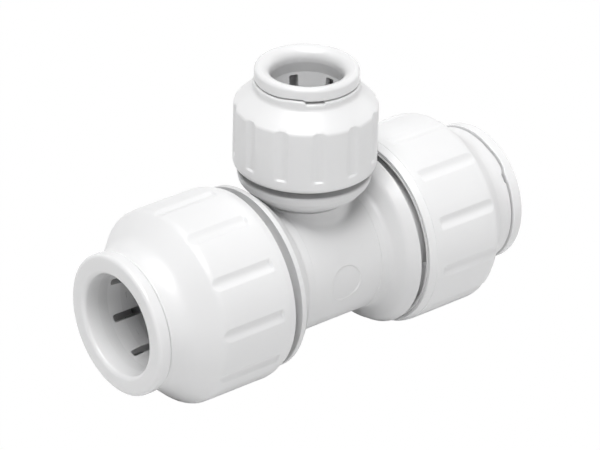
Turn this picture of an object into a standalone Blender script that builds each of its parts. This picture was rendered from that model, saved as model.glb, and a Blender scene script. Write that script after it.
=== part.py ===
"""Push to connect reducing tee for plastic or copper water pipe.

Two ports for 22 mm tube lie on one straight run along X, and a port for 15 mm tube stands up along Z.
The origin is where the two axes cross. Each port is the same mechanism in its own size:

    tee body   socket with a tube stop, a seat for the seal and a coarse outside thread
    O-ring     seals on the tube, in the seat
    spacer     slides in the socket's mouth, between the seal and the cap
    screw cap  a quarter turn drives it inwards along the thread and locks the port
    collet     slotted sleeve that slides in the cap's cone, with a steel tooth in each finger

Every piece of a port is modelled about its own +Z, which points out of the port, and is then parented to
an empty that turns +Z to the port's direction. Lengths are in millimetres until they become vertices.
"""
import math
from types import SimpleNamespace

import bmesh
import bpy
from mathutils import Matrix, Vector

MM = 0.001
SEGMENTS = 36             # facets round each turned piece
SEAL_SEGMENTS = 24        # facets round the hidden rings
THREAD_STEPS = 24         # facets in one turn of the thread
THREAD_PHASE = 0.25       # of a step, so that no thread corner meets a corner of the turned pieces
FLUTE_COUNT = 12          # finger grips round each cap
THREAD_LEAD = 6.0         # advance in one full turn
QUARTER_TURN_ADVANCE = THREAD_LEAD / 4

RUN = SimpleNamespace(
    tube_r=11.0, waterway_r=9.0, stop=20.0,
    seal_seat=26.9, seal_seat_r=14.2, seal_r=1.55, nose=32.0,
    flange_face=16.5, flange_r=20.25, flange_edge=2.9, flange_slope=0.9,
    core_r=17.0, crest_r=18.4, thread_from=21.0, thread_turns=1.5,
    spacer_sleeve=2.1, spacer_sleeve_r=13.8, spacer_flange=1.1, spacer_flange_r=16.6, spacer_top=35.0,
    rim=18.3, rim_r=20.6, cap_r=21.4, rim_chamfer=1.5, shoulder=36.7, neck=46.7, neck_r=15.2,
    cap_bore_r=17.4, cap_step=35.3, cone_r=16.0, cone_end=45.0, neck_bore_r=13.1,
    collet_tip=35.6, finger_r=12.8, barb_r=14.95, barb_end=38.5, barb_end_r=14.05,
    collar=47.05, collar_r=15.5, face=49.8, mouth_r=12.1,
    slots=8, slot_width=1.0, slot_end=43.0, tooth_width=3.0, tooth_base=38.2,
    flute_from=21.8, flute_width=2.8, flute_depth=0.65, notch_width=3.4,
)
BRANCH = SimpleNamespace(
    tube_r=7.5, waterway_r=6.0, stop=20.5,
    seal_seat=25.5, seal_seat_r=10.15, seal_r=1.25, nose=30.1,
    flange_face=21.4, flange_r=14.4, flange_edge=3.2, flange_slope=1.4,
    core_r=11.9, crest_r=12.9, thread_from=23.4, thread_turns=1.0,
    spacer_sleeve=2.1, spacer_sleeve_r=9.9, spacer_flange=1.0, spacer_flange_r=11.6, spacer_top=33.0,
    rim=23.3, rim_r=15.0, cap_r=15.3, rim_chamfer=0.5, shoulder=36.7, neck=42.3, neck_r=11.0,
    cap_bore_r=12.25, cap_step=33.3, cone_r=11.7, cone_end=40.6, neck_bore_r=9.4,
    collet_tip=33.6, finger_r=9.1, barb_r=10.7, barb_end=35.6, barb_end_r=9.95,
    collar=42.65, collar_r=11.1, face=45.4, mouth_r=8.5,
    slots=6, slot_width=2.0, slot_end=39.5, tooth_width=2.4, tooth_base=35.3,
    flute_from=25.6, flute_width=3.0, flute_depth=0.6, notch_width=3.8,
)

# Where each port points, its sizes, and how far its cap, collet and notch are turned (degrees).
PORTS = (
    SimpleNamespace(
        name="left", size=RUN, axis=(-1, 0, 0), zero=(0, -1, 0),
        flutes=7.5, slots=-151.3, notch=205.5),
    SimpleNamespace(
        name="right", size=RUN, axis=(1, 0, 0), zero=(0, -1, 0),
        flutes=5.5, slots=20.0, notch=-36.5),
    SimpleNamespace(
        name="branch", size=BRANCH, axis=(0, 0, 1), zero=(1, 0, 0),
        flutes=1.5, slots=11.5, notch=-119.5),
)

BARREL_R = 15.07          # run barrel between the two flanges
BRANCH_NECK_R = 9.3       # branch pipe between the barrel and its flange
RUN_FLANGE_ROOT = 9.6     # where a run flange's back leaves the barrel
BRANCH_FLANGE_ROOT = 16.9
SOCKET_GAP = 0.15         # radial play between tube and socket
TUBE_SQUEEZE = 0.15       # how far seals and teeth stand inside the tube's outline
THREAD_ROOT = 1.2         # half of the thread's width where it meets the core
THREAD_CREST = 0.7        # half of the thread's width at its crest
THREAD_PLAY = 0.4         # play between the thread and the cap's groove
THREAD_ROOM = 0.4         # groove beyond the thread's end when the cap is locked
TOOTH_THICK = 0.4
TOOTH_TILT = 20.0         # degrees that a tooth leans in the way the tube goes in
TOOTH_PLAY = 0.15         # play between a tooth and its pocket
NOTCH_DEPTH = 0.7
OVERSHOOT = 1.0           # how far a cutter passes the surface that it opens

COLOURS = {
    "tee_plastic": ((0.90, 0.90, 0.90), 0.32, 0.0),
    "cap_plastic": ((0.92, 0.92, 0.92), 0.30, 0.0),
    "collet_plastic": ((0.93, 0.93, 0.93), 0.26, 0.0),
    "spacer_plastic": ((0.80, 0.81, 0.82), 0.40, 0.0),
    "seal_rubber": ((0.03, 0.03, 0.03), 0.55, 0.0),
    "tooth_steel": ((0.62, 0.62, 0.63), 0.25, 1.0),
}


def clear_scene():
    for obj in list(bpy.data.objects):
        bpy.data.objects.remove(obj, do_unlink=True)


def make_material(name):
    colour, roughness, metallic = COLOURS[name]
    material = bpy.data.materials.new(name)
    material.use_nodes = True
    shader = material.node_tree.nodes["Principled BSDF"]
    shader.inputs["Base Color"].default_value = (*colour, 1.0)
    shader.inputs["Roughness"].default_value = roughness
    shader.inputs["Metallic"].default_value = metallic
    return material


def make_port_empty(port):
    """An empty on the port's axis: its Z points out of the port and its X is the zero for angles."""
    outward = Vector(port.axis)
    across = Vector(port.zero)
    turn = Matrix((across, outward.cross(across), outward)).transposed()
    empty = bpy.data.objects.new(port.name + "_port", None)
    empty.matrix_world = turn.to_4x4()
    bpy.context.collection.objects.link(empty)
    return empty


def face_outwards(mesh):
    """Turn every face out of its solid, whichever way its outline was drawn."""
    work = bmesh.new()
    work.from_mesh(mesh)
    bmesh.ops.recalc_face_normals(work, faces=work.faces)
    work.to_mesh(mesh)
    work.free()


def add_object(name, vertices, faces, material=None, parent=None):
    mesh = bpy.data.meshes.new(name)
    mesh.from_pydata([[value * MM for value in vertex] for vertex in vertices], [], faces)
    face_outwards(mesh)
    if material:
        mesh.materials.append(material)
        mesh.shade_smooth()
        mesh.set_sharp_from_angle(angle=math.radians(35))
    obj = bpy.data.objects.new(name, mesh)
    obj.parent = parent
    bpy.context.collection.objects.link(obj)
    return obj


def make_cutter(name, vertices, faces, parent=None):
    cutter = add_object(name, vertices, faces, parent=parent)
    cutter.hide_render = True
    cutter.display_type = "WIRE"
    return cutter


def combine(obj, other, operation):
    """Join or cut with another object, by a Boolean modifier that stays on the piece."""
    modifier = obj.modifiers.new(other.name, "BOOLEAN")
    modifier.operation = operation
    modifier.solver = "EXACT"
    modifier.object = other


def turned_ring(outline, segments=SEGMENTS):
    """Turn a closed outline of (height, radius) points about Z. The outline runs up its outer side."""
    vertices = []
    for step in range(segments):
        angle = math.tau * step / segments
        vertices += [(r * math.cos(angle), r * math.sin(angle), z) for z, r in outline]
    count = len(outline)
    faces = []
    for step in range(segments):
        here = step * count
        there = (step + 1) % segments * count
        for point in range(count):
            following = (point + 1) % count
            faces.append((here + point, there + point, there + following, here + following))
    return vertices, faces


def turned_solid(outline, segments=SEGMENTS):
    """Turn an open outline about Z and close its first and last circles with flat discs."""
    vertices, faces = turned_ring(outline, segments)
    count = len(outline)
    faces = [face for index, face in enumerate(faces) if index % count != count - 1]
    faces.append([step * count for step in reversed(range(segments))])
    faces.append([step * count + count - 1 for step in range(segments)])
    return vertices, faces


def swept_thread(section, first_step, steps, start_height):
    """Sweep a closed (radius, height) section up a right-hand helix, one facet for each step."""
    vertices = []
    for step in range(first_step, first_step + steps + 1):
        angle = math.tau * (step + THREAD_PHASE) / THREAD_STEPS
        lift = start_height + THREAD_LEAD * step / THREAD_STEPS
        vertices += [(r * math.cos(angle), r * math.sin(angle), z + lift) for r, z in section]
    count = len(section)
    faces = []
    for step in range(steps):
        here = step * count
        there = here + count
        for point in range(count):
            following = (point + 1) % count
            faces.append((here + point, there + point, there + following, here + following))
    faces.append(list(reversed(range(count))))
    faces.append([steps * count + point for point in range(count)])
    return vertices, faces


def turned_block(angle, lean, radial, across, along, centre):
    """A block on a spoke of the port: its radial, tangential and axial spans, leaning by lean degrees.

    The spans are measured from centre, a (radius, height) point that the block leans about.
    """
    spoke = Matrix.Rotation(math.radians(angle), 3, "Z")
    tip = Matrix.Rotation(math.radians(-lean), 3, "Y")
    pivot = Vector((centre[0], 0, centre[1]))
    corners = [(x, y, z) for z in along for x, y in (
        (radial[0], across[0]), (radial[1], across[1]), (radial[1], -across[1]), (radial[0], -across[0]))]
    vertices = [spoke @ (pivot + tip @ Vector(corner)) for corner in corners]
    faces = [(0, 1, 2, 3), (7, 6, 5, 4), (0, 4, 5, 1), (1, 5, 6, 2), (2, 6, 7, 3), (3, 7, 4, 0)]
    return vertices, faces


def gather(blocks):
    """Put several closed meshes into one list of vertices and faces."""
    vertices = []
    faces = []
    for block_vertices, block_faces in blocks:
        offset = len(vertices)
        vertices += block_vertices
        faces += [[offset + index for index in face] for face in block_faces]
    return vertices, faces


def spokes(count, first):
    return [first + 360.0 * index / count for index in range(count)]


def flange_outline(size, pipe_r, root):
    """From the pipe up the flange's hollow back to its edge: a quarter of an ellipse in four steps."""
    edge = size.flange_face - size.flange_edge
    top_r = size.flange_r - size.flange_slope
    points = []
    for step in range(5):
        angle = math.radians(90 * (1 - step / 4))
        height = root + (edge - root) * math.cos(angle)
        radius = pipe_r + (top_r - pipe_r) * (1 - math.sin(angle))
        points.append((height, radius))
    return points


def socket_outline(size, start):
    """The inside of a socket, from the waterway out past the nose."""
    pocket_r = size.tube_r + SOCKET_GAP
    return [
        (start, size.waterway_r),
        (size.stop, size.waterway_r),
        (size.stop, pocket_r),
        (size.seal_seat, pocket_r),
        (size.seal_seat, size.seal_seat_r),
        (size.nose + OVERSHOOT, size.seal_seat_r),
    ]


def socket_outside(size):
    """The outside of a socket, from its flange to its nose."""
    return [
        (size.flange_face - size.flange_edge / 2, size.flange_r - size.flange_slope / 4),
        (size.flange_face - 0.3, size.flange_r),
        (size.flange_face, size.flange_r - 0.3),
        (size.flange_face, size.core_r),
        (size.nose - 0.6, size.core_r),
        (size.nose, size.core_r - 0.6),
    ]


def thread_ridge(size):
    steps = round(size.thread_turns * THREAD_STEPS)
    section = [
        (size.core_r - 0.5, -THREAD_ROOT),
        (size.crest_r, -THREAD_CREST),
        (size.crest_r, THREAD_CREST),
        (size.core_r - 0.5, THREAD_ROOT),
    ]
    return swept_thread(section, 0, steps, size.thread_from)


def thread_groove(size):
    """The ridge's path with play all round, from beyond the rim to where the locked cap needs it."""
    lead_in = math.ceil((size.thread_from - size.rim + 2.5) / THREAD_LEAD * THREAD_STEPS)
    beyond = math.ceil((QUARTER_TURN_ADVANCE + THREAD_ROOM) / THREAD_LEAD * THREAD_STEPS)
    steps = round(size.thread_turns * THREAD_STEPS) + lead_in + beyond
    section = [
        (size.core_r - 0.3, -THREAD_ROOT - THREAD_PLAY),
        (size.crest_r + THREAD_PLAY, -THREAD_CREST - THREAD_PLAY),
        (size.crest_r + THREAD_PLAY, THREAD_CREST + THREAD_PLAY),
        (size.core_r - 0.3, THREAD_ROOT + THREAD_PLAY),
    ]
    return swept_thread(section, -lead_in, steps, size.thread_from)


def make_tee_body(material, empties):
    """Barrel and branch pipe with their flanges, hollowed into one waterway with three sockets."""
    half = flange_outline(RUN, BARREL_R, RUN_FLANGE_ROOT) + socket_outside(RUN)
    run_outline = [(-height, radius) for height, radius in reversed(half)] + half
    body = add_object("tee_body", *turned_solid(run_outline), material, empties["right"])

    branch_outline = [(0.0, BRANCH_NECK_R)] + flange_outline(BRANCH, BRANCH_NECK_R, BRANCH_FLANGE_ROOT)
    branch_outside = turned_solid(branch_outline + socket_outside(BRANCH))
    combine(body, make_cutter("branch_outside", *branch_outside, empties["branch"]), "UNION")

    for port in PORTS:
        ridge = thread_ridge(port.size)
        combine(body, make_cutter(port.name + "_thread", *ridge, empties[port.name]), "UNION")

    run_socket = socket_outline(RUN, 0.0)[1:]
    run_bore = [(-height, radius) for height, radius in reversed(run_socket)] + run_socket
    combine(body, make_cutter("run_bore", *turned_solid(run_bore), empties["right"]), "DIFFERENCE")
    branch_bore = turned_solid(socket_outline(BRANCH, 0.0))
    combine(body, make_cutter("branch_bore", *branch_bore, empties["branch"]), "DIFFERENCE")


def make_screw_cap(port, material, empty):
    """Threaded cap: fluted skirt, rounded shoulder, and a neck with a cam notch in its end."""
    size = port.size
    drop = size.neck - size.shoulder
    fall = size.cap_r - size.neck_r
    outline = [
        (size.rim, size.cap_bore_r),
        (size.rim, size.rim_r),
        (size.rim + size.rim_chamfer, size.cap_r),
        (size.shoulder, size.cap_r),
        (size.shoulder + 0.24 * drop, size.cap_r - 0.36 * fall),
        (size.shoulder + 0.45 * drop, size.cap_r - 0.64 * fall),
        (size.shoulder + 0.66 * drop, size.cap_r - 0.86 * fall),
        (size.shoulder + 0.85 * drop, size.neck_r + 0.02 * fall),
        (size.neck, size.neck_r),
        (size.neck, size.neck_bore_r),
        (size.cone_end, size.neck_bore_r),
        (size.cap_step, size.cone_r),
        (size.cap_step, size.cap_bore_r),
    ]
    cap = add_object(port.name + "_screw_cap", *turned_ring(outline), material, empty)

    combine(cap, make_cutter(port.name + "_groove", *thread_groove(size), empty), "DIFFERENCE")
    middle = (size.flute_from + size.shoulder + 0.3) / 2
    half_length = middle - size.flute_from
    half_width = size.flute_width / 2
    flutes = [
        turned_block(angle, 0, (-size.flute_depth, OVERSHOOT), (half_width, half_width),
                     (-half_length, half_length), (size.cap_r, middle))
        for angle in spokes(FLUTE_COUNT, port.flutes)
    ]
    combine(cap, make_cutter(port.name + "_flutes", *gather(flutes), empty), "DIFFERENCE")
    half_notch = size.notch_width / 2
    notch = turned_block(port.notch, 0, (-4.0, 2.0), (half_notch, half_notch),
                         (-NOTCH_DEPTH, OVERSHOOT), (size.neck_r, size.neck))
    combine(cap, make_cutter(port.name + "_cam_notch", *notch, empty), "DIFFERENCE")


def make_collet(port, material, empty):
    """Slotted sleeve with barbed fingers inside the cap and a collar that is pushed to free the tube."""
    size = port.size
    bore_r = size.tube_r + SOCKET_GAP
    outline = [
        (size.collet_tip, bore_r),
        (size.collet_tip, size.barb_r),
        (size.barb_end, size.barb_end_r),
        (size.barb_end + 0.8, size.finger_r),
        (size.collar, size.finger_r),
        (size.collar, size.collar_r),
        (size.face - 1.0, size.collar_r),
        (size.face, size.collar_r - 1.0),
        (size.face, size.mouth_r),
        (size.face - 1.1, bore_r + 0.15),
    ]
    collet = add_object(port.name + "_collet", *turned_ring(outline), material, empty)

    half_slot = size.slot_width / 2
    slots = [
        turned_block(angle, 0, (-2.0, 6.0), (half_slot, half_slot),
                     (size.collet_tip - OVERSHOOT, size.slot_end), (bore_r, 0.0))
        for angle in spokes(size.slots, port.slots)
    ]
    combine(collet, make_cutter(port.name + "_slots", *gather(slots), empty), "DIFFERENCE")
    pockets = [tooth_block(size, angle, TOOTH_PLAY) for angle in finger_angles(port)]
    combine(collet, make_cutter(port.name + "_pockets", *gather(pockets), empty), "DIFFERENCE")


def finger_angles(port):
    """The middle of each finger, half a pitch past each slot."""
    return spokes(port.size.slots, port.slots + 180.0 / port.size.slots)


def tooth_block(size, angle, play=0.0):
    """A steel blade that narrows and leans inwards. With play it is the pocket that the blade sits in."""
    tip_r = size.tube_r - TUBE_SQUEEZE
    base_r = (size.barb_end_r + size.finger_r) / 2
    length = (base_r - tip_r) / math.cos(math.radians(TOOTH_TILT))
    half_base = size.tooth_width / 2 + play
    half_tip = half_base if play else size.tooth_width / 3
    half_thick = TOOTH_THICK / 2 + play
    reach = OVERSHOOT if play else 0.0
    return turned_block(angle, -TOOTH_TILT, (-length - reach, play), (half_tip, half_base),
                        (-half_thick, half_thick), (base_r, size.tooth_base))


def make_teeth(port, material, empty):
    for number, angle in enumerate(finger_angles(port), start=1):
        vertices, faces = tooth_block(port.size, angle)
        add_object(f"{port.name}_tooth_{number}", vertices, faces, material, empty)


def make_spacer_ring(port, material, empty):
    """Ring whose sleeve reaches down to the seal and whose flange the cap pushes."""
    size = port.size
    bore_r = size.tube_r + 2 * SOCKET_GAP
    flange = size.spacer_top - size.spacer_flange
    outline = [
        (flange - size.spacer_sleeve, bore_r),
        (flange - size.spacer_sleeve, size.spacer_sleeve_r),
        (flange, size.spacer_sleeve_r),
        (flange, size.spacer_flange_r),
        (size.spacer_top, size.spacer_flange_r),
        (size.spacer_top, bore_r),
    ]
    add_object(port.name + "_spacer_ring", *turned_ring(outline, SEAL_SEGMENTS), material, empty)


def make_o_ring(port, material, empty):
    """Rubber ring on the floor of the seal seat, a little tight on the tube."""
    size = port.size
    middle_r = size.tube_r - TUBE_SQUEEZE + size.seal_r
    height = size.seal_seat + 0.15 + size.seal_r
    outline = []
    for step in range(8):
        angle = math.tau * (step + 0.5) / 8
        outline.append((height + size.seal_r * math.sin(angle), middle_r + size.seal_r * math.cos(angle)))
    add_object(port.name + "_o_ring", *turned_ring(outline, SEAL_SEGMENTS), material, empty)


def main():
    clear_scene()
    materials = {name: make_material(name) for name in COLOURS}
    empties = {port.name: make_port_empty(port) for port in PORTS}
    make_tee_body(materials["tee_plastic"], empties)
    for port in PORTS:
        empty = empties[port.name]
        make_o_ring(port, materials["seal_rubber"], empty)
        make_spacer_ring(port, materials["spacer_plastic"], empty)
        make_screw_cap(port, materials["cap_plastic"], empty)
        make_collet(port, materials["collet_plastic"], empty)
        make_teeth(port, materials["tooth_steel"], empty)


main()
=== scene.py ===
"""Looks of the push to connect reducing tee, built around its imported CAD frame.

The white mouldings are made again here as fine meshes: turned outlines with real roundings, finger flutes,
cam ramps, coarse threads and the filleted branch. Outlines are drawn in millimetres about each port's own
axis, as (height, radius, rounding) corners, and become metres when they become vertices.
"""
import math
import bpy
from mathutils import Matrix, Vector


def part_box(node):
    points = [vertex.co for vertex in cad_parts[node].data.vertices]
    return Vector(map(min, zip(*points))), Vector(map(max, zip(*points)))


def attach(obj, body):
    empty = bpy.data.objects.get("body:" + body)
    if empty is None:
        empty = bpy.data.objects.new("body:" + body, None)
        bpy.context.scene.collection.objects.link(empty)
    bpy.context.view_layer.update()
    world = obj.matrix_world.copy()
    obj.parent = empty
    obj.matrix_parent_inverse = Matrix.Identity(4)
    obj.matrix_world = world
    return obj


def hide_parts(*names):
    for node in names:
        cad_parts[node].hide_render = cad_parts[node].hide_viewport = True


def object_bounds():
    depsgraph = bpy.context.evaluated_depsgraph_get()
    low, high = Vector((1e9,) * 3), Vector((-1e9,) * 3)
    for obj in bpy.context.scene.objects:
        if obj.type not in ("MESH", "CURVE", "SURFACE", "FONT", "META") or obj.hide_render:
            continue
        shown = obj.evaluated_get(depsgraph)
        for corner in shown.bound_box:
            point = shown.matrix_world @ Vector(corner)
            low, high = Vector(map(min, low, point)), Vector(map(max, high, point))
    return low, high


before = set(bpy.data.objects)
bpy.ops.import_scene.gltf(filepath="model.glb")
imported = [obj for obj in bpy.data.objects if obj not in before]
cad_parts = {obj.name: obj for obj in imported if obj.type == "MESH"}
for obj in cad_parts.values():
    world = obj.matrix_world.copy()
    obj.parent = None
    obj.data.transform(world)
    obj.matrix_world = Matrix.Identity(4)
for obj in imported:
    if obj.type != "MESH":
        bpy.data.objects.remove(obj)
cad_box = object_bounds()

from types import SimpleNamespace

import bmesh
import bpy
import numpy as np
from mathutils import Matrix, Vector

MM = 0.001

# ---------------------------------------------------------------- dimensions


def reach(node, axis):
    """Where a CAD node starts and ends along a port's axis, and its radius about it, in millimetres."""
    low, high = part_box(node)
    ends = sorted((low.dot(axis) / MM, high.dot(axis) / MM))
    across = [(high[i] - low[i]) / 2 / MM for i in range(3) if abs(axis[i]) < 0.5]
    return ends[0], ends[1], max(across)


def measured_port(name, axis, zero, **look):
    """A port's sizes, read from its CAD pieces, with the looks that the CAD leaves plain."""
    axis = Vector(axis)
    rim, neck, cap_r = reach(name + "_screw_cap", axis)
    tip, face, collar_r = reach(name + "_collet", axis)
    spacer_low, spacer_high, spacer_r = reach(name + "_spacer_ring", axis)
    seal_low, seal_high, seal_r = reach(name + "_o_ring", axis)
    across = Vector(zero)
    turn = Matrix((across, axis.cross(across), axis)).transposed()
    return SimpleNamespace(
        name=name, turn=turn, rim=rim, neck=neck, cap_r=cap_r, tip=tip, face=face, collar_r=collar_r,
        spacer_low=spacer_low, spacer_high=spacer_high, spacer_r=spacer_r,
        seal_low=seal_low, seal_high=seal_high, seal_r=seal_r, **look)


RUN_LOOK = dict(
    tube_r=11.0, core_r=17.0, crest_r=18.4, thread_from=21.0, thread_turns=1.5,
    cap_bore_r=17.4, cap_step=35.3, cone_r=16.0, cone_end=45.0, neck_bore_r=13.1, neck_r=15.2,
    rim_r=20.6, rim_wall=1.15, band=1.75, shoulder=36.9, shoulder_slope=0.95, shoulder_round=2.8,
    neck_fillet=7.0, neck_edge=0.4, flute_from=21.9, flute_half=1.55, flute_depth=0.52, flute_end=0.45,
    notch_half=1.1, notch_depth=0.3, tooth_depth=0.1,
    finger_r=12.8, barb_end=38.5, barb_end_r=14.05, barb_r=14.95, collar=47.05,
    collar_edge=0.9, dish_r=14.2, mouth=49.8, mouth_r=11.2, mouth_round=1.0, throat=46.1, throat_r=11.09,
    throat_step=0.14, finger_step=0.32, grip_end=37.45,
    slots=8, slot_half=0.85, slot_round=0.5, slot_end=43.0,
    spacer_sleeve_r=13.8, spacer_flange=1.1,
)
BRANCH_LOOK = dict(
    tube_r=7.5, core_r=11.9, crest_r=12.9, thread_from=23.4, thread_turns=1.0,
    cap_bore_r=12.25, cap_step=33.3, cone_r=11.7, cone_end=40.6, neck_bore_r=9.4, neck_r=11.3,
    rim_r=15.15, rim_wall=0.7, band=0.0, shoulder=36.8, shoulder_slope=1.05, shoulder_round=1.1,
    neck_fillet=1.1, neck_edge=0.5, flute_from=25.5, flute_half=1.6, flute_depth=0.46, flute_end=0.35,
    notch_half=2.1, notch_depth=0.35, tooth_depth=0.0,
    finger_r=9.1, barb_end=35.6, barb_end_r=9.95, barb_r=10.7, collar=42.65,
    collar_edge=0.9, dish_r=10.0, mouth=44.9, mouth_r=7.75, mouth_round=2.55, throat=42.4, throat_r=7.65,
    throat_step=0.25, finger_step=0.15, grip_end=34.4,
    slots=6, slot_half=1.0, slot_round=0.35, slot_end=39.5,
    spacer_sleeve_r=9.9, spacer_flange=1.0,
)
# Angles, in degrees about each port's axis: the first flute, the first slot and the cam's notch.
LEFT = measured_port("left", (-1, 0, 0), (0, -1, 0), flutes=7.5, first_slot=-151.3, notch=205.5, **RUN_LOOK)
RIGHT = measured_port("right", (1, 0, 0), (0, -1, 0), flutes=5.5, first_slot=20.0, notch=-36.5, **RUN_LOOK)
BRANCH = measured_port("branch", (0, 0, 1), (1, 0, 0), flutes=1.5, first_slot=11.5, notch=-119.5,
                       **BRANCH_LOOK)
PORTS = (LEFT, RIGHT, BRANCH)

FLUTES = 12
FLUTE_PITCH = 360.0 / FLUTES
THREAD_LEAD = 6.0
THREAD_START = 3.75       # degrees from the port's zero to the thread's start
THREAD_ROOT = 1.2         # half the thread's width at its root
THREAD_CREST = 0.7        # and at its crest
THREAD_PLAY = 0.4         # what the cap's groove has more, in depth and in half width
RAMP_HEIGHT = 0.3
RAMP_LENGTH = 7.0         # length of the cam ramp before its notch
RIM_HOLLOW = 1.9          # how far the hollow in a cap's rim goes in
BARREL_R = 15.07
BRANCH_NECK_R = 9.3
FOOT_R = 9.8              # the branch below its witness step
NECK_FILLET = 1.0         # where the branch grows out of the barrel
LEFT_ROOT = 8.4           # where the left run flange leaves the barrel
RIGHT_ROOT = 9.6
ROOT_STEP = 0.13          # witness step at that place
LEFT_LAND = 1.2           # width of the left flange's straight edge
LEFT_FACE = 16.15         # the left run flange's outer face
RIGHT_FACE = 16.5
RUN_SOCKET = dict(stop=20.0, waterway_r=9.0, pocket_r=11.15, seat=26.9, seat_r=14.2, nose_end=32.0)
BRANCH_SOCKET = dict(stop=20.5, waterway_r=6.0, pocket_r=7.65, seat=25.5, seat_r=10.15, nose_end=30.1)
GATE_MARK_R = 4.05
GATE_MARK_DEPTH = 0.22
GATE_MARK_EDGE = 0.28     # width of its sloping edge
GATE_MARK_X = -0.1

# Steps round a turned piece, and the angle above which an edge stays sharp.
FINE = 240
MEDIUM = 180
COARSE = 120
GATE_MARK_STEPS = 96
SEAL_STEPS = 20           # round an O-ring's own section
SHARP = 28
FLOOR_HALF = 6.0          # metres

# ---------------------------------------------------------------- outlines


def rounded(corners, steps=7):
    """Points along (height, radius, rounding) corners, with an arc of that radius at each corner."""
    points = []
    for index, (height, radius, rounding) in enumerate(corners):
        corner = np.array((height, radius), float)
        if rounding == 0 or index in (0, len(corners) - 1):
            points.append(corner)
            continue
        back = np.array(corners[index - 1][:2], float) - corner
        ahead = np.array(corners[index + 1][:2], float) - corner
        back /= np.linalg.norm(back)
        ahead /= np.linalg.norm(ahead)
        if back.dot(ahead) < -0.9999:
            points.append(corner)
            continue
        half_angle = math.acos(np.clip(back.dot(ahead), -1, 1)) / 2
        middle = (back + ahead) / np.linalg.norm(back + ahead)
        centre = corner + middle * rounding / math.sin(half_angle)
        first = corner + back * rounding / math.tan(half_angle) - centre
        last = corner + ahead * rounding / math.tan(half_angle) - centre
        sweep = math.pi - 2 * half_angle
        for step in range(steps + 1):
            share = step / steps
            spoke = (math.sin((1 - share) * sweep) * first + math.sin(share * sweep) * last) / math.sin(sweep)
            points.append(centre + spoke)
    return np.array(points)


def divided(points, longest):
    """The same line with no stretch longer than the given length."""
    result = [points[0]]
    for start, end in zip(points[:-1], points[1:]):
        parts = max(1, math.ceil(np.linalg.norm(end - start) / longest))
        result += [start + (end - start) * part / parts for part in range(1, parts + 1)]
    return np.array(result)


def even_angles(count):
    return np.arange(count) * 360.0 / count


def cap_angles(port):
    """Angles round a cap: close together across each flute and at its cam, wider apart between."""
    half = math.degrees(port.flute_half / port.cap_r)
    across = np.array((-1.05, -1, -0.82, -0.62, -0.4, -0.2, 0, 0.2, 0.4, 0.62, 0.82, 1, 1.05)) * half
    between = np.linspace(half * 1.05, FLUTE_PITCH - half * 1.05, 11)[1:-1]
    period = np.concatenate((across, between)) + port.flutes
    angles = np.concatenate([period + FLUTE_PITCH * index for index in range(FLUTES)])
    notch = math.degrees(port.notch_half / port.neck_r)
    cam = port.notch + np.array((-notch - 0.4, -notch + 0.4, notch - 0.4, notch + 0.4))
    angles = np.sort(np.concatenate((angles, cam)) % 360)
    return angles[np.concatenate(([True], np.diff(angles) > 0.15))]


# ---------------------------------------------------------------- meshes


def new_object(name, vertices, faces, turn=None):
    mesh = bpy.data.meshes.new(name)
    mesh.from_pydata((np.asarray(vertices) * MM).tolist(), [], faces)
    if turn is not None:
        mesh.transform(turn.to_4x4())
    face_outwards(mesh)
    obj = bpy.data.objects.new(name, mesh)
    bpy.context.collection.objects.link(obj)
    return obj


def face_outwards(mesh):
    work = bmesh.new()
    work.from_mesh(mesh)
    bmesh.ops.recalc_face_normals(work, faces=work.faces)
    work.to_mesh(mesh)
    work.free()


def turned(name, outline, angles, turn, warp=None, closed=True):
    """Turn an outline of (height, radius) points about a port's axis.

    A closed outline makes a ring; an open one is closed by discs at its two ends. The warp may move
    each point's height and radius by its angle.
    """
    outline = np.asarray(outline)
    turns, points = len(angles), len(outline)
    angle = np.repeat(angles[:, None], points, axis=1)
    height = np.repeat(outline[None, :, 0], turns, axis=0)
    radius = np.repeat(outline[None, :, 1], turns, axis=0)
    if warp:
        height, radius = warp(angle, height, radius)
    spoke = np.radians(angle)
    vertices = np.stack((radius * np.cos(spoke), radius * np.sin(spoke), height), axis=2).reshape(-1, 3)
    here = np.arange(turns)[:, None] * points
    there = (np.arange(turns)[:, None] + 1) % turns * points
    point = np.arange(points if closed else points - 1)[None, :]
    following = (point + 1) % points
    faces = np.stack((here + point, there + point, there + following, here + following), axis=2)
    faces = faces.reshape(-1, 4).tolist()
    if not closed:
        faces.append((np.arange(turns) * points).tolist())
        faces.append((np.arange(turns) * points + points - 1).tolist())
    return new_object(name, vertices, faces, turn)


def combine(obj, other, operation):
    """Join or cut with another object and apply the result."""
    modifier = obj.modifiers.new("combine", "BOOLEAN")
    modifier.operation = operation
    modifier.solver = "EXACT"
    modifier.object = other
    bpy.context.view_layer.update()
    graph = bpy.context.evaluated_depsgraph_get()
    result = bpy.data.meshes.new_from_object(obj.evaluated_get(graph))
    obj.modifiers.remove(modifier)
    old = obj.data
    obj.data = result
    result.name = obj.name
    bpy.data.meshes.remove(old)
    bpy.data.objects.remove(other, do_unlink=True)


def finished(obj, body, slot, material, *nodes):
    """Shade a piece, give it its material and put it on its body in place of its CAD nodes."""
    obj.data.materials.clear()
    obj.data.materials.append(material)
    obj.data.shade_smooth()
    obj.data.set_sharp_from_angle(angle=math.radians(SHARP))
    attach(obj, body)
    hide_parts(*nodes)
    return obj


# ---------------------------------------------------------------- threads and cams


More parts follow.
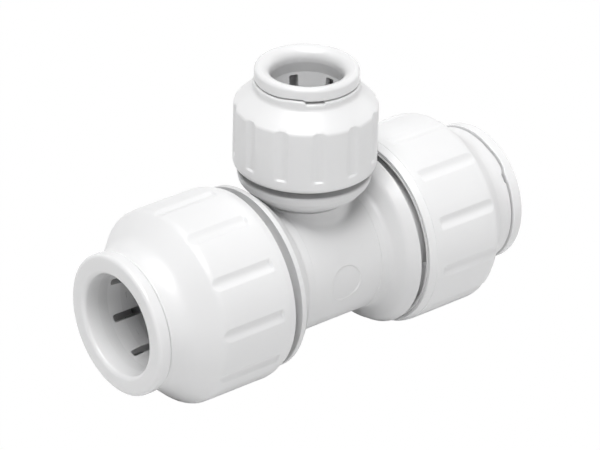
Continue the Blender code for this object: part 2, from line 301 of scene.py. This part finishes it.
def thread_height(port, angle, height, half_root, half_crest, before, after):
    """How much of a thread's full height stands at each point, from 0 to 1.

    The thread may run on before its start and after its end, both in millimetres of height.
    """
    full = np.zeros_like(height)
    for turn in range(-4, 4):
        climb = THREAD_LEAD * ((angle - THREAD_START) / 360 + turn)
        inside = (climb >= -before) & (climb <= THREAD_LEAD * port.thread_turns + after)
        offset = np.abs(height - port.thread_from - climb)
        flank = np.clip((half_root - offset) / (half_root - half_crest), 0, 1)
        full = np.maximum(full, np.where(inside, flank, 0))
    return full


def eased(value):
    """A smooth step from 0 to 1."""
    value = np.clip(value, 0, 1)
    return value * value * (3 - 2 * value)


def cam_shift(port, angle, notch):
    """The cam between a cap's neck and its collar: a ramp that climbs with the angle, then a notch."""
    half_notch = math.degrees(port.notch_half / port.neck_r)
    ramp = math.degrees(RAMP_LENGTH / port.neck_r)
    past = (angle - port.notch + 180) % 360 - 180
    climb = eased((past + half_notch + ramp) / (ramp * 0.6))
    leave = eased((past + half_notch + 4.0) / 4.0)
    inside = eased((half_notch + 0.4 - np.abs(past)) / 0.8)
    return RAMP_HEIGHT * climb * (1 - leave) - notch * inside


# ---------------------------------------------------------------- pieces


def cap_outside(port):
    """A cap from inside its hollow rim to its neck: lip, band, skirt, shoulder, filleted neck."""
    cap_r = port.cap_r
    drop = (cap_r - port.neck_r) / port.shoulder_slope
    lip_r = port.rim_r - port.rim_wall
    corners = [
        (port.rim + RIM_HOLLOW, port.cap_bore_r, 0),
        (port.rim + RIM_HOLLOW, lip_r - 0.1, 0.3),
        (port.rim, lip_r, 0.06),
    ]
    if port.band:
        corners += [
            (port.rim, lip_r + 0.42, 0.06),
            (port.rim + 0.3, lip_r + 0.45, 0),
            (port.rim + 0.3, lip_r + 0.66, 0),
            (port.rim + 0.08, lip_r + 0.72, 0),
            (port.rim + 0.1, port.rim_r + 0.05, 0.05),
            (port.rim + port.band, cap_r - 0.24, 0.1),
            (port.rim + port.band + 0.05, cap_r - 0.12, 0.03),
            (port.rim + port.band + 1.0, cap_r, 0),
        ]
    else:
        corners += [
            (port.rim, port.rim_r, 0.1),
            (port.rim + 0.6, cap_r, 0.3),
        ]
    corners += [
        (port.flute_from, cap_r, 0),
        (port.flute_from + port.flute_end / 2, cap_r, 0),
        (port.flute_from + port.flute_end, cap_r, 0),
        (port.shoulder, cap_r, port.shoulder_round),
        (port.shoulder + drop, port.neck_r, port.neck_fillet),
        (port.neck, port.neck_r, port.neck_edge),
        (port.neck, port.neck_bore_r, 0.2),
    ]
    return corners


def make_screw_cap(port, material):
    outside = rounded(cap_outside(port) + [(port.cone_end, port.neck_bore_r, 0)], steps=9)
    skirt = divided(outside[:-1], 0.9)
    inside = [
        (port.cone_end, port.neck_bore_r),
        (port.cap_step, port.cone_r),
        (port.cap_step, port.cap_bore_r),
        (port.rim + RIM_HOLLOW, port.cap_bore_r),
    ]
    bore = divided(np.array(inside, float), 0.35)[:-1]
    outline = np.concatenate((skirt, bore))

    def warp(angle, height, radius):
        past = (angle - port.flutes + FLUTE_PITCH / 2) % FLUTE_PITCH - FLUTE_PITCH / 2
        across = np.radians(past) * port.cap_r / port.flute_half
        depth = port.flute_depth * np.clip(1 - across**2, 0, 1)**1.4
        start = np.clip((height - port.flute_from) / port.flute_end, 0, 1)
        floor = port.cap_r - depth * start
        on_skirt = radius > (port.cap_bore_r + port.crest_r) / 2 + 1.0
        fluted = np.where(on_skirt & (height > port.flute_from - 0.01), np.minimum(radius, floor), radius)
        in_bore = (np.abs(radius - port.cap_bore_r) < 0.01) & (height < port.cap_step - 0.2)
        half_root, half_crest = THREAD_ROOT + THREAD_PLAY, THREAD_CREST + THREAD_PLAY
        groove = thread_height(port, angle, height, half_root, half_crest, 6.0, 1.9)
        fluted = fluted + np.where(in_bore, groove * (port.crest_r + THREAD_PLAY - port.cap_bore_r), 0)
        near_end = np.clip((height - port.neck + 1.6) / 0.7, 0, 1) * (height > port.cone_end - 0.6)
        return height + cam_shift(port, angle, port.notch_depth) * near_end, fluted

    cap = turned(port.name + "_cap_shell", outline, cap_angles(port), port.turn, warp)
    return finished(cap, port.name + "_cap", "cap_plastic", material, port.name + "_screw_cap")


def make_collet(port, material):
    """Slotted sleeve: a collar with rounded edges outside, barbed fingers inside."""
    bore_r = port.tube_r + 0.15
    finger_bore = bore_r - port.finger_step
    corners = [
        (port.tip, bore_r + 0.1, 0),
        (port.tip, port.barb_r, 0.2),
        (port.barb_end, port.barb_end_r, 0.2),
        (port.barb_end + 0.8, port.finger_r, 0.3),
        (port.collar, port.finger_r, 0.2),
        (port.collar, port.collar_r, 0.15),
        (port.face, port.collar_r, port.collar_edge),
        (port.face, port.dish_r, 0.8),
        (port.mouth, port.mouth_r, port.mouth_round),
        (port.throat, port.throat_r, 0.5),
        (port.slot_end + 0.6, port.throat_r + port.throat_step, 0.1),
        (port.slot_end - 2.5, finger_bore, 0.5),
        (port.grip_end, finger_bore, 0.1),
        (port.tip, bore_r + 0.1, 0),
    ]
    outline = divided(rounded(corners, steps=9), 1.0)[:-1]

    def warp(angle, height, radius):
        underside = (np.abs(height - port.collar) < 0.3) & (radius > port.finger_r + 0.2)
        return height + np.where(underside, cam_shift(port, angle, port.tooth_depth), 0), radius

    collet = turned(port.name + "_collet_shell", outline, even_angles(FINE), port.turn, warp)
    for index in range(port.slots):
        angle = port.first_slot + 360.0 * index / port.slots
        combine(collet, slot_cutter(port, angle), "DIFFERENCE")
    return finished(collet, port.name + "_collet", "collet_plastic", material, port.name + "_collet")


def slot_cutter(port, angle):
    """A bar that opens one slot from the sleeve's tip to its rounded end."""
    reach_out = port.barb_r + 1.0
    outline = rounded([
        (port.slot_half, port.tip - 1.0, 0),
        (port.slot_half, port.slot_end, port.slot_round),
        (-port.slot_half, port.slot_end, port.slot_round),
        (-port.slot_half, port.tip - 1.0, 0),
    ])
    spoke = math.radians(angle)
    along = np.array((math.cos(spoke), math.sin(spoke), 0))
    aside = np.array((-math.sin(spoke), math.cos(spoke), 0))
    vertices = []
    for distance in (port.tube_r - 2.0, reach_out):
        vertices += [along * distance + aside * side + np.array((0, 0, height)) for side, height in outline]
    count = len(outline)
    faces = [(i, (i + 1) % count, count + (i + 1) % count, count + i) for i in range(count)]
    faces += [list(range(count)), list(range(count, 2 * count))]
    return new_object("slot", np.array(vertices), faces, port.turn)


def make_spacer_ring(port, material):
    bore_r = port.tube_r + 0.3
    flange = port.spacer_high - port.spacer_flange
    corners = [
        (port.spacer_low, bore_r, 0),
        (port.spacer_low, port.spacer_sleeve_r, 0.25),
        (flange, port.spacer_sleeve_r, 0.2),
        (flange, port.spacer_r, 0.2),
        (port.spacer_high, port.spacer_r, 0.2),
        (port.spacer_high, bore_r, 0.3),
        (port.spacer_low, bore_r, 0),
    ]
    outline = rounded(corners, steps=4)[:-1]
    ring = turned(port.name + "_spacer", outline, even_angles(COARSE), port.turn)
    return finished(ring, port.name + "_spacer", "spacer_plastic", material, port.name + "_spacer_ring")


def make_o_ring(port, material):
    thick = (port.seal_high - port.seal_low) / 2
    middle = (port.seal_high + port.seal_low) / 2
    around = np.radians(even_angles(SEAL_STEPS))
    radius = port.seal_r - thick + thick * np.cos(around)
    outline = np.stack((middle + thick * np.sin(around), radius), axis=1)
    ring = turned(port.name + "_seal", outline, even_angles(COARSE), port.turn)
    return finished(ring, "tee", "seal_rubber", material, port.name + "_o_ring")


def flare(root, land):
    """From the barrel up a run flange's S-shaped back to its edge, which may have a straight land."""
    return [
        (root, BARREL_R, 0),
        (root + 0.14, BARREL_R + ROOT_STEP, 0),
        (12.0 - land, BARREL_R + ROOT_STEP + 0.15, 1.8),
        (13.9 - land, 18.7 - land / 2, 2.6),
        (16.35 - land, 20.2, 0.15),
    ]


def nose(port, face):
    """From a run flange's face down to the threaded core and out to the nose."""
    return [
        (face, 20.1, 0.1),
        (face, port.core_r, 0.3),
        (31.4, port.core_r, 0),
        (32.0, port.core_r - 0.6, 0),
    ]


def make_run_solid():
    right = divided(rounded(flare(RIGHT_ROOT, 0.0) + nose(RIGHT, RIGHT_FACE)), 0.5)
    left = divided(rounded(flare(LEFT_ROOT, LEFT_LAND) + nose(LEFT, LEFT_FACE)), 0.5) * np.array((-1, 1))
    outline = np.concatenate((left[::-1], right))

    def warp(angle, height, radius):
        for port, local_angle in ((RIGHT, angle), (LEFT, -angle)):
            side = height if port is RIGHT else -height
            ridge = thread_height(port, local_angle % 360, side, THREAD_ROOT, THREAD_CREST, 0, 0)
            on_core = (np.abs(radius - port.core_r) < 0.01) & (side > 17)
            radius = radius + np.where(on_core, ridge * (port.crest_r - port.core_r), 0)
        return height, radius

    return turned("tee_shell", outline, even_angles(FINE), RIGHT.turn, warp, closed=False)


def barrel_top(angle, distance):
    """Height of the barrel's surface at a distance from the branch axis, going out at an angle."""
    return np.sqrt(BARREL_R**2 - (distance * np.sin(angle))**2)


def make_branch_solid():
    """Branch pipe, flange and threaded nose, standing on a fillet that lies down onto the barrel."""
    angles = even_angles(FINE)
    upper = rounded([
        (15.4, FOOT_R, 0.12),
        (15.48, BRANCH_NECK_R, 0.1),
        (17.45, BRANCH_NECK_R, 0.6),
        (17.45, 12.5, 0.12),
        (18.15, 12.5, 0),
        (18.2, 13.0, 0.5),
        (19.5, 14.1, 1.2),
        (21.4, 14.4, 0.45),
        (21.4, BRANCH.core_r, 0.3),
        (29.6, BRANCH.core_r, 0),
        (30.1, BRANCH.core_r - 0.5, 0),
    ], steps=5)
    upper = divided(upper, 0.5)
    spoke = np.radians(angles)[:, None]
    lower_z, lower_r = branch_foot(spoke)
    rows = lower_z.shape[1]
    outline = np.concatenate((np.zeros((rows, 2)), upper))

    def warp(angle, height, radius):
        height[:, :rows] = lower_z
        radius[:, :rows] = lower_r
        ridge = thread_height(BRANCH, angle, height, THREAD_ROOT, THREAD_CREST, 0, 0)
        on_core = (np.abs(radius - BRANCH.core_r) < 0.01) & (height > 22)
        return height, radius + np.where(on_core, ridge * (BRANCH.crest_r - BRANCH.core_r), 0)

    return turned("branch_shell", outline, angles, BRANCH.turn, warp, closed=False)


def branch_foot(spoke):
    """Heights and radii of the branch's foot: a base inside the barrel, a hem just in it, and the fillet.

    The fillet is a curve that leaves the barrel along its surface and ends upright at the foot's radius.
    """
    turns = len(spoke)
    fillet_r = FOOT_R + NECK_FILLET
    fillet_z = barrel_top(spoke, fillet_r)
    slope = -fillet_r * np.sin(spoke)**2 / fillet_z
    knee_z = np.minimum(fillet_z + slope * (FOOT_R - fillet_r), 15.25)
    top_z = np.minimum(knee_z + NECK_FILLET, 15.35)
    share = np.linspace(0, 1, 14)[None, :]
    curve_r = (1 - share)**2 * fillet_r + 2 * share * (1 - share) * FOOT_R + share**2 * FOOT_R
    curve_z = (1 - share)**2 * fillet_z + 2 * share * (1 - share) * knee_z + share**2 * top_z
    curve_r = np.repeat(curve_r, turns, axis=0)
    hem_r = fillet_r + np.array((0.8, 0.5))[None, :].repeat(turns, axis=0)
    hem_z = barrel_top(spoke, hem_r) - np.array((0.5, 0.03))[None, :]
    base_r = np.full((turns, 1), fillet_r)
    base_z = np.full((turns, 1), 6.0)
    return np.concatenate((base_z, hem_z, curve_z), axis=1), np.concatenate((base_r, hem_r, curve_r), axis=1)


def socket(stop, waterway_r, pocket_r, seat, seat_r, nose_end):
    """The inside of a socket, from the waterway out past the nose."""
    return [
        (stop, waterway_r, 0.3),
        (stop, pocket_r, 0.1),
        (seat, pocket_r, 0.2),
        (seat, seat_r, 0.3),
        (nose_end - 0.6, seat_r, 0),
        (nose_end + 1.0, seat_r + 1.0, 0),
    ]


def make_tee_body(material):
    body = make_run_solid()
    combine(body, make_branch_solid(), "UNION")
    half = rounded([(0, RUN_SOCKET["waterway_r"], 0)] + socket(**RUN_SOCKET))[1:]
    run_bore = np.concatenate((half[::-1] * np.array((-1, 1)), half))
    cutter = turned("run_bore", run_bore, even_angles(MEDIUM), RIGHT.turn, closed=False)
    combine(body, cutter, "DIFFERENCE")
    branch_bore = rounded([(0, BRANCH_SOCKET["waterway_r"], 0)] + socket(**BRANCH_SOCKET))
    cutter = turned("branch_bore", branch_bore, even_angles(MEDIUM), BRANCH.turn, closed=False)
    combine(body, cutter, "DIFFERENCE")
    combine(body, make_gate_mark(), "DIFFERENCE")
    return finished(body, "tee", "tee_plastic", material, "tee_body")


def make_gate_mark():
    """Cutter for the round, barely sunk gate mark with a sloping edge on the barrel's front."""
    count = GATE_MARK_STEPS
    around = np.radians(even_angles(count))
    rows = [(GATE_MARK_R, -2.0), (GATE_MARK_R, 0.0)]
    rows += [(ring_r, GATE_MARK_DEPTH) for ring_r in np.linspace(GATE_MARK_R - GATE_MARK_EDGE, 0, 7)[:-1]]
    vertices = []
    for ring_r, depth in rows:
        x, z = GATE_MARK_X + ring_r * np.cos(around), ring_r * np.sin(around)
        vertices += np.stack((x, -np.sqrt((BARREL_R - depth)**2 - z**2), z), axis=1).tolist()
    faces = [list(range(count)), list(range((len(rows) - 1) * count, len(rows) * count))]
    for row in range(len(rows) - 1):
        for here in range(count):
            there = (here + 1) % count
            low, high = row * count, (row + 1) * count
            faces.append((low + here, low + there, high + there, high + here))
    return new_object("gate_mark", np.array(vertices), faces)


# ---------------------------------------------------------------- materials


def node_material(name):
    material = bpy.data.materials.new(name)
    material.use_nodes = True
    return material, material.node_tree.nodes, material.node_tree.links


def noise(nodes, links, place, scale, detail):
    texture = nodes.new("ShaderNodeTexNoise")
    texture.inputs["Scale"].default_value = scale
    texture.inputs["Detail"].default_value = detail
    links.new(place.outputs["Object"], texture.inputs["Vector"])
    return texture


def spread(nodes, links, texture, low, high):
    """Maps a texture's middle range onto low to high."""
    ramp = nodes.new("ShaderNodeMapRange")
    ramp.inputs["From Min"].default_value = 0.3
    ramp.inputs["From Max"].default_value = 0.7
    ramp.inputs["To Min"].default_value = low
    ramp.inputs["To Max"].default_value = high
    links.new(texture.outputs["Fac"], ramp.inputs["Value"])
    return ramp


def plastic(name, light, dark, rough, grain, sink):
    """Moulded plastic: faint cloudiness, uneven gloss, a fine die texture and slow sink marks."""
    material, nodes, links = node_material(name)
    shader = nodes["Principled BSDF"]
    place = nodes.new("ShaderNodeTexCoord")

    cloud = noise(nodes, links, place, 45, 3)
    tint = nodes.new("ShaderNodeMix")
    tint.data_type = "RGBA"
    tint.inputs["A"].default_value = (*dark, 1)
    tint.inputs["B"].default_value = (*light, 1)
    links.new(spread(nodes, links, cloud, 0, 1).outputs["Result"], tint.inputs["Factor"])
    links.new(tint.outputs["Result"], shader.inputs["Base Color"])

    gloss = noise(nodes, links, place, 110, 4)
    sheen = spread(nodes, links, gloss, rough - 0.03, rough + 0.04)
    links.new(sheen.outputs["Result"], shader.inputs["Roughness"])

    fine = noise(nodes, links, place, 5200, 2)
    fine_bump = nodes.new("ShaderNodeBump")
    fine_bump.inputs["Strength"].default_value = 0.5
    fine_bump.inputs["Distance"].default_value = grain * MM
    links.new(fine.outputs["Fac"], fine_bump.inputs["Height"])
    slow = noise(nodes, links, place, 160, 1)
    slow_bump = nodes.new("ShaderNodeBump")
    slow_bump.inputs["Strength"].default_value = 0.5
    slow_bump.inputs["Distance"].default_value = sink * MM
    links.new(slow.outputs["Fac"], slow_bump.inputs["Height"])
    links.new(slow_bump.outputs["Normal"], fine_bump.inputs["Normal"])
    links.new(fine_bump.outputs["Normal"], shader.inputs["Normal"])
    shader.inputs["IOR"].default_value = 1.5
    return material


def rubber(name):
    material, nodes, links = node_material(name)
    shader = nodes["Principled BSDF"]
    place = nodes.new("ShaderNodeTexCoord")
    shader.inputs["Base Color"].default_value = (0.016, 0.016, 0.017, 1)
    haze = noise(nodes, links, place, 900, 3)
    links.new(spread(nodes, links, haze, 0.42, 0.58).outputs["Result"], shader.inputs["Roughness"])
    return material


def steel(name):
    """Stamped stainless strip with rolling lines along its grain."""
    material, nodes, links = node_material(name)
    shader = nodes["Principled BSDF"]
    place = nodes.new("ShaderNodeTexCoord")
    stretch = nodes.new("ShaderNodeMapping")
    stretch.inputs["Scale"].default_value = (1, 1, 14)
    links.new(place.outputs["Object"], stretch.inputs["Vector"])
    lines = nodes.new("ShaderNodeTexNoise")
    lines.inputs["Scale"].default_value = 900
    lines.inputs["Detail"].default_value = 2
    links.new(stretch.outputs["Vector"], lines.inputs["Vector"])
    shader.inputs["Base Color"].default_value = (0.56, 0.56, 0.57, 1)
    shader.inputs["Metallic"].default_value = 1.0
    links.new(spread(nodes, links, lines, 0.22, 0.38).outputs["Result"], shader.inputs["Roughness"])
    bump = nodes.new("ShaderNodeBump")
    bump.inputs["Strength"].default_value = 0.4
    bump.inputs["Distance"].default_value = 0.004 * MM
    links.new(lines.outputs["Fac"], bump.inputs["Height"])
    links.new(bump.outputs["Normal"], shader.inputs["Normal"])
    return material


# ---------------------------------------------------------------- studio


def make_camera():
    """A long lens above the left front, tilted a little.

    Its direction, place and lens are the result of a fit to the object's circular edges.
    """
    azimuth = math.radians(-39.68)
    elevation = math.radians(29.19)
    roll = math.radians(1.47)
    back = Vector((math.sin(azimuth) * math.cos(elevation), -math.cos(azimuth) * math.cos(elevation),
                   math.sin(elevation)))
    right = Vector((math.cos(azimuth), math.sin(azimuth), 0))
    up = back.cross(right)
    rolled_right = right * math.cos(roll) + up * math.sin(roll)
    rolled_up = up * math.cos(roll) - right * math.sin(roll)
    target = Vector((-0.83, 0, 7.63)) * MM
    distance = 784.1
    place = target + back * distance * MM
    matrix = Matrix((rolled_right, rolled_up, back)).transposed().to_4x4()
    matrix.translation = place
    data = bpy.data.cameras.new("camera")
    data.sensor_width = 36
    data.lens = 220.5
    data.clip_start = 0.01
    data.clip_end = 50
    camera = bpy.data.objects.new("camera", data)
    camera.matrix_world = matrix
    bpy.context.collection.objects.link(camera)
    bpy.context.scene.camera = camera


def soft_light(name, azimuth, elevation, spread_angle, strength):
    """A broad, even light from far away."""
    data = bpy.data.lights.new(name, "SUN")
    data.angle = math.radians(spread_angle)
    data.energy = strength
    light = bpy.data.objects.new(name, data)
    turn, lift = math.radians(azimuth), math.radians(elevation)
    from_there = Vector((math.cos(lift) * math.cos(turn), math.cos(lift) * math.sin(turn), math.sin(lift)))
    light.rotation_euler = from_there.to_track_quat("Z", "Y").to_euler()
    bpy.context.collection.objects.link(light)


def make_world():
    """A pale surround that only the camera sees, so that the lights and the floor do the lighting."""
    world = bpy.data.worlds.new("surround")
    world.use_nodes = True
    bpy.context.scene.world = world
    world.node_tree.nodes["Background"].inputs["Color"].default_value = (1, 1, 1, 1)
    world.node_tree.nodes["Background"].inputs["Strength"].default_value = 1.0
    world.cycles_visibility.diffuse = False
    world.cycles_visibility.glossy = False


def plane(name, height):
    mesh = bpy.data.meshes.new(name)
    half = FLOOR_HALF
    corners = [(-half, -half, 0), (half, -half, 0), (half, half, 0), (-half, half, 0)]
    mesh.from_pydata(corners, [], [(0, 1, 2, 3)])
    obj = bpy.data.objects.new(name, mesh)
    obj.location = (0, 0, height)
    bpy.context.collection.objects.link(obj)
    return obj


def make_floor():
    """A pale table that throws light up at the object, and the white that the camera sees in its place."""
    lowest = cad_box[0][2]
    floor = plane("floor", lowest - 0.0005)
    material, nodes, links = node_material("floor_pale")
    nodes["Principled BSDF"].inputs["Base Color"].default_value = (0.8, 0.8, 0.8, 1)
    nodes["Principled BSDF"].inputs["Roughness"].default_value = 0.9
    floor.data.materials.append(material)
    floor.visible_camera = False

    sweep = plane("floor_sweep", lowest - 0.001)
    material, nodes, links = node_material("floor_white")
    nodes["Principled BSDF"].inputs["Base Color"].default_value = (0, 0, 0, 1)
    nodes["Principled BSDF"].inputs["Emission Color"].default_value = (1, 1, 1, 1)
    nodes["Principled BSDF"].inputs["Emission Strength"].default_value = 1.0
    sweep.data.materials.append(material)
    sweep.visible_diffuse = False
    sweep.visible_glossy = False
    sweep.visible_shadow = False


def main():
    bpy.context.scene.view_settings.view_transform = "Standard"
    make_camera()
    make_world()
    make_floor()
    # A least-squares fit to the reference picture's brightness chose these lights from a grid of
    # directions and set their strengths. They were not chosen by hand. The key joins two fitted lights.
    soft_light("key", 214, 75, 45, 2.05)
    soft_light("key_low", 225, 60, 30, 0.79)
    soft_light("top", 0, 90, 60, 0.82)
    soft_light("left_front", 250, 30, 30, 0.19)
    soft_light("front", 315, 15, 40, 0.21)
    soft_light("right", 0, 15, 40, 0.45)
    soft_light("right_back", 45, 15, 40, 0.23)
    soft_light("back", 90, 15, 40, 0.27)
    soft_light("left_back", 135, 45, 50, 0.1)

    tee = plastic("tee_white", (0.73, 0.73, 0.733), (0.71, 0.71, 0.714), 0.33, 0.0015, 0.005)
    cap = plastic("cap_white", (0.79, 0.79, 0.793), (0.77, 0.77, 0.774), 0.32, 0.0015, 0.005)
    collar = plastic("collet_white", (0.8, 0.8, 0.803), (0.78, 0.78, 0.784), 0.22, 0.001, 0.004)
    natural = plastic("spacer_natural", (0.72, 0.73, 0.74), (0.68, 0.69, 0.7), 0.42, 0.005, 0.02)
    black = rubber("seal_black")
    stainless = steel("tooth_stainless")

    make_tee_body(tee)
    for port in PORTS:
        make_screw_cap(port, cap)
        make_collet(port, collar)
        make_spacer_ring(port, natural)
        make_o_ring(port, black)
    for name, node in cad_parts.items():
        if "_tooth_" in name:
            node.data.materials.clear()
            node.data.materials.append(stainless)


main()
